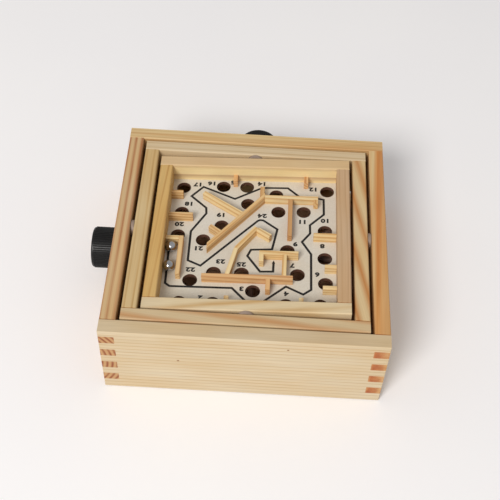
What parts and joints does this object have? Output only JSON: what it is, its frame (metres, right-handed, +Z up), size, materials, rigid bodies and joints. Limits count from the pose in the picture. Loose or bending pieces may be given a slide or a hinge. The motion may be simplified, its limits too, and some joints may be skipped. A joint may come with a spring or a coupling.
{
  "type": "tilting labyrinth puzzle",
  "caption": "Wooden dexterity puzzle: a finger-jointed box with two nested tilting frames, a maze board with trap holes, and knobs that tilt the maze by cords.",
  "frame": {"origin": "middle of the box's underside, on the table", "axes": "+X to the right and +Y away from the picture's viewer, towards the rear knob, +Z up"},
  "size_m": [0.209, 0.2065, 0.0685],
  "materials": {
    "pine": "sanded pine with orange grain",
    "pale_pine": "sanded pale pine",
    "strip_pine": "sanded yellow pine",
    "plywood": "thin plywood",
    "paper_faced_board": "white paper on board",
    "steel": "bright steel",
    "nylon": "natural nylon",
    "black_plastic": "black plastic",
    "cord": "waxed twine"
  },
  "bodies": {
    "box": {"front_wall": "pale_pine", "rear_wall": "pine", "left_wall": "pine", "right_wall": "pine", "base_panel": "plywood", "base_brads": "steel", "ball_ramp": "plywood", "ramp_cleats": "pine", "side_bush": "nylon", "rear_bush": "nylon", "frame_cord": "cord", "frame_spring": "steel", "tray_cord": "cord", "tray_spring": "steel"},
    "middle_frame": {"frame_front_rail": "pine", "frame_rear_rail": "pine", "frame_left_rail": "pine", "frame_right_rail": "pine", "frame_pivot_pins": "steel", "frame_pivot_washers": "nylon", "tray_pivot_pins": "steel", "tray_pivot_washers": "nylon", "frame_cord_eyes": "steel"},
    "maze_tray": {"tray_front_rail": "pale_pine", "tray_rear_rail": "pale_pine", "tray_left_rail": "pale_pine", "tray_right_rail": "pale_pine", "maze_board": "paper_faced_board", "tray_cord_eyes": "steel", "left_rail_stubs": "strip_pine", "rear_rail_stubs": "strip_pine", "right_rail_stubs": "strip_pine", "front_rail_stubs": "strip_pine", "start_stub": "strip_pine", "start_strip": "strip_pine", "diagonal_strip": "strip_pine", "long_diagonal": "strip_pine", "diagonal_spur": "strip_pine", "top_stub": "strip_pine", "top_bar": "strip_pine", "top_bar_spur": "strip_pine", "centre_bar": "strip_pine", "peak_left_strip": "strip_pine", "peak_low_strip": "strip_pine", "peak_right_strip": "strip_pine", "inner_bar": "strip_pine", "inner_bar_spur": "strip_pine", "inner_post": "strip_pine", "long_bar": "strip_pine", "long_bar_spur": "strip_pine"},
    "side_knob": {"side_knob": "black_plastic", "side_shaft": "steel", "side_collar": "nylon"},
    "rear_knob": {"rear_knob": "black_plastic", "rear_shaft": "steel", "rear_collar": "nylon"},
    "ball_1": {"ball_1": "steel"},
    "ball_2": {"ball_2": "steel"}
  },
  "joints": [
    {"name": "frame_tilt", "type": "hinge", "parent": "box", "child": "middle_frame", "pos_m": [0, 0, 0.06], "axis": [1, 0, 0], "range_deg": [-5, 5], "deforming": ["frame_cord", "frame_spring"]},
    {"name": "tray_tilt", "type": "hinge", "parent": "middle_frame", "child": "maze_tray", "pos_m": [0, 0, 0.06], "axis": [0, 1, 0], "range_deg": [-2.5, 7.5], "deforming": ["tray_cord", "tray_spring"]},
    {"name": "side_knob_turn", "type": "hinge", "parent": "box", "child": "side_knob", "pos_m": [0, 0.004, 0.031], "axis": [1, 0, 0], "range_deg": [-38.3, 38.3]},
    {"name": "rear_knob_turn", "type": "hinge", "parent": "box", "child": "rear_knob", "pos_m": [0.0015, 0, 0.037], "axis": [0, 1, 0], "range_deg": [-44.82, 14.97]},
    {"name": "ball_1_roll", "type": "slide", "parent": "maze_tray", "child": "ball_1", "axis": [0, -1, 0], "range_m": [0, 0.008]},
    {"name": "ball_2_roll", "type": "slide", "parent": "maze_tray", "child": "ball_2", "axis": [0, -1, 0], "range_m": [0, 0.016]}
  ],
  "couplings": [
    {"joint": "side_knob_turn", "follows": "frame_tilt", "ratio": -7.65},
    {"joint": "rear_knob_turn", "follows": "tray_tilt", "ratio": -5.97}
  ]
}
